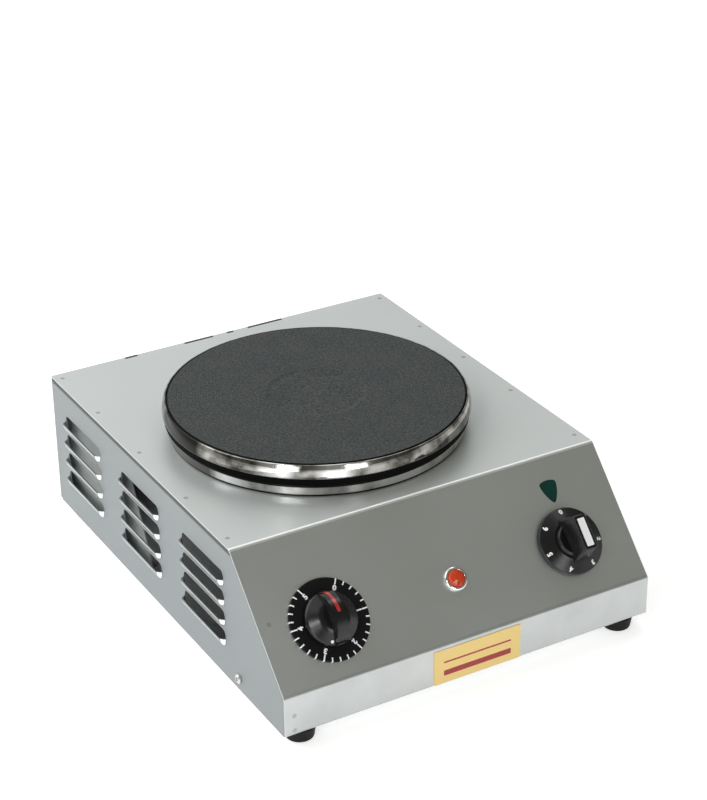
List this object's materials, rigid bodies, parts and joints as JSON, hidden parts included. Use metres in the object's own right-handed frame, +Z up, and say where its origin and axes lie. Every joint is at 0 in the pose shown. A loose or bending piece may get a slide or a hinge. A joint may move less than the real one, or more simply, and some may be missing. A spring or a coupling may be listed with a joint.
{
  "type": "hot plate burner",
  "caption": "Free-standing electric hot plate: folded steel housing with louvred sides, round iron plate in a bright rim, sloping panel with knobs and a pilot lamp.",
  "frame": {"origin": "on the floor under the middle of the bounding box", "axes": "+X to the user's right, +Y to the back, +Z up"},
  "size_m": [0.3016, 0.387, 0.1433],
  "materials": {
    "cover_steel": "satin stainless sheet",
    "side_steel": "satin stainless sheet",
    "rear_steel": "plain sheet",
    "bright_steel": "polished stainless",
    "iron": "matt black coating",
    "heater_bed": "fired insulating bed",
    "dull_steel": "aluminised",
    "shield_steel": "aluminised sheet",
    "zinc_steel": "zinc plated",
    "ceramic": "unglazed ceramic",
    "dial_black": "black scale disc",
    "knob_black": "moulded black",
    "red_inlay": "red inlay",
    "white_inlay": "white inlay",
    "control_plastic": "moulded phenolic",
    "copper": "drawn copper",
    "bezel_chrome": "chromed ring",
    "lens_orange": "tinted clear plastic",
    "lamp_plastic": "moulded",
    "label_film": "printed film, bare of words",
    "terminal_plastic": "moulded",
    "gland_plastic": "moulded black",
    "wire_plastic": "heat-proof sleeving",
    "foot_rubber": "moulded rubber"
  },
  "bodies": {
    "housing": {"top_cover": "cover_steel", "left_side_panel": "side_steel", "right_side_panel": "side_steel", "rear_panel": "rear_steel", "base_plate": "rear_steel", "spill_ring": "bright_steel", "plate_rim": "bright_steel", "hot_plate": "iron", "neck_ring": "iron", "heating_element": "heater_bed", "plate_dish": "dull_steel", "clamp_bridge": "dull_steel", "bulb_clip": "dull_steel", "side_shields": "shield_steel", "plate_stud": "zinc_steel", "stud_washers": "zinc_steel", "stud_nuts": "zinc_steel", "control_screws": "zinc_steel", "foot_screws": "zinc_steel", "foot_nuts": "zinc_steel", "side_screws": "zinc_steel", "rear_screws": "zinc_steel", "earth_stud": "zinc_steel", "earth_nut": "zinc_steel", "plate_terminals": "ceramic", "dial_plate": "dial_black", "thermostat_body": "control_plastic", "switch_body": "control_plastic", "thermostat_bulb": "copper", "capillary_tube": "copper", "pilot_bezel": "bezel_chrome", "pilot_lens": "lens_orange", "pilot_body": "lamp_plastic", "pilot_nut": "lamp_plastic", "front_label": "label_film", "terminal_block": "terminal_plastic", "cable_gland": "gland_plastic", "gland_nut": "gland_plastic", "wiring": "wire_plastic", "foot_front_left": "foot_rubber", "foot_front_right": "foot_rubber", "foot_rear_left": "foot_rubber", "foot_rear_right": "foot_rubber"},
    "thermostat_control": {"thermostat_knob": "knob_black", "knob_pointer": "red_inlay", "thermostat_spindle": "zinc_steel"},
    "switch_control": {"switch_knob": "knob_black", "switch_knob_insert": "white_inlay", "switch_spindle": "zinc_steel"}
  },
  "joints": [
    {"name": "thermostat_turn", "type": "hinge", "parent": "housing", "child": "thermostat_control", "pos_m": [-0.097, -0.16443, 0.07048], "axis": [0, 0.7234, -0.6905], "range_deg": [0, 330]},
    {"name": "switch_turn", "type": "hinge", "parent": "housing", "child": "switch_control", "pos_m": [0.097, -0.16443, 0.07048], "axis": [0, 0.7234, -0.6905], "continuous": true}
  ]
}
